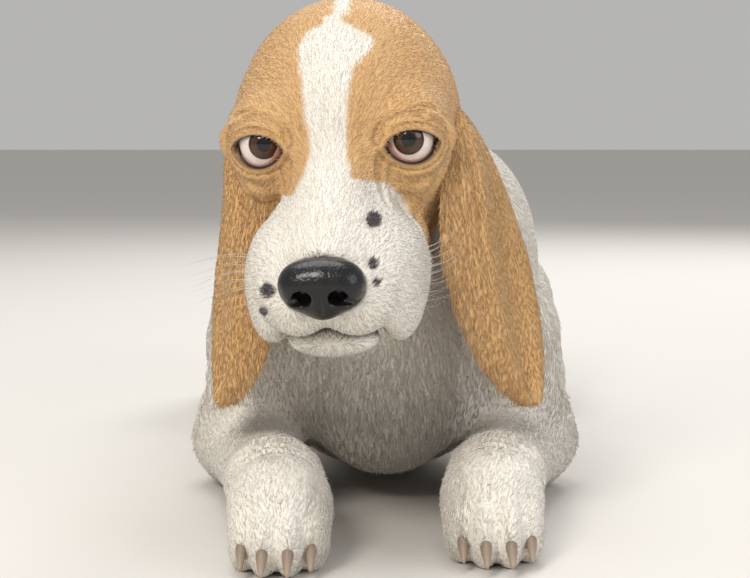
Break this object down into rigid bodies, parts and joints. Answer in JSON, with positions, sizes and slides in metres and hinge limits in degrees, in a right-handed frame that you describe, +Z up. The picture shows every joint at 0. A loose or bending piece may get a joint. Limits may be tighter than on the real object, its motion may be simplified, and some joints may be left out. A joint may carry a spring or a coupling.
{
  "type": "basset hound",
  "caption": "Basset hound lying on its chest with its forelegs stretched forward, its head up and a little turned, and its long ears hanging to its elbows.",
  "frame": {"origin": "on the floor under the middle of the dog's outline, seen from above", "axes": "+Z up, the dog faces -Y and its tail lies towards +Y, +X is the dog's left side"},
  "size_m": [0.3134, 0.9988, 0.3275],
  "materials": {
    "white_coat": "short smooth white hair with pale lemon patches",
    "lemon_coat": "short fine lemon hair on the ear leather",
    "nose_leather": "damp black nose leather with a fine pebbled grain",
    "eye": "wet dark brown eye",
    "claw_horn": "grey-brown horn, worn at the tip"
  },
  "bodies": {
    "root": {"ear_left": "lemon_coat", "ear_right": "lemon_coat", "eye_left": "eye", "eye_right": "eye", "fore_claw_left_inner": "claw_horn", "fore_claw_left_outer": "claw_horn", "fore_claw_left_second": "claw_horn", "fore_claw_left_third": "claw_horn", "fore_claw_right_inner": "claw_horn", "fore_claw_right_outer": "claw_horn", "fore_claw_right_second": "claw_horn", "fore_claw_right_third": "claw_horn", "forearm_left": "white_coat", "forearm_right": "white_coat", "forepaw_left": "white_coat", "forepaw_right": "white_coat", "head": "white_coat", "hind_claw_left_inner": "claw_horn", "hind_claw_left_outer": "claw_horn", "hind_claw_left_second": "claw_horn", "hind_claw_left_third": "claw_horn", "hind_claw_right_inner": "claw_horn", "hind_claw_right_outer": "claw_horn", "hind_claw_right_second": "claw_horn", "hind_claw_right_third": "claw_horn", "hindpaw_left": "white_coat", "hindpaw_right": "white_coat", "lower_leg_left": "white_coat", "lower_leg_right": "white_coat", "neck": "white_coat", "nose": "nose_leather", "tail": "white_coat", "thigh_left": "white_coat", "thigh_right": "white_coat", "torso": "white_coat", "upper_arm_left": "white_coat", "upper_arm_right": "white_coat"}
  },
  "joints": []
}
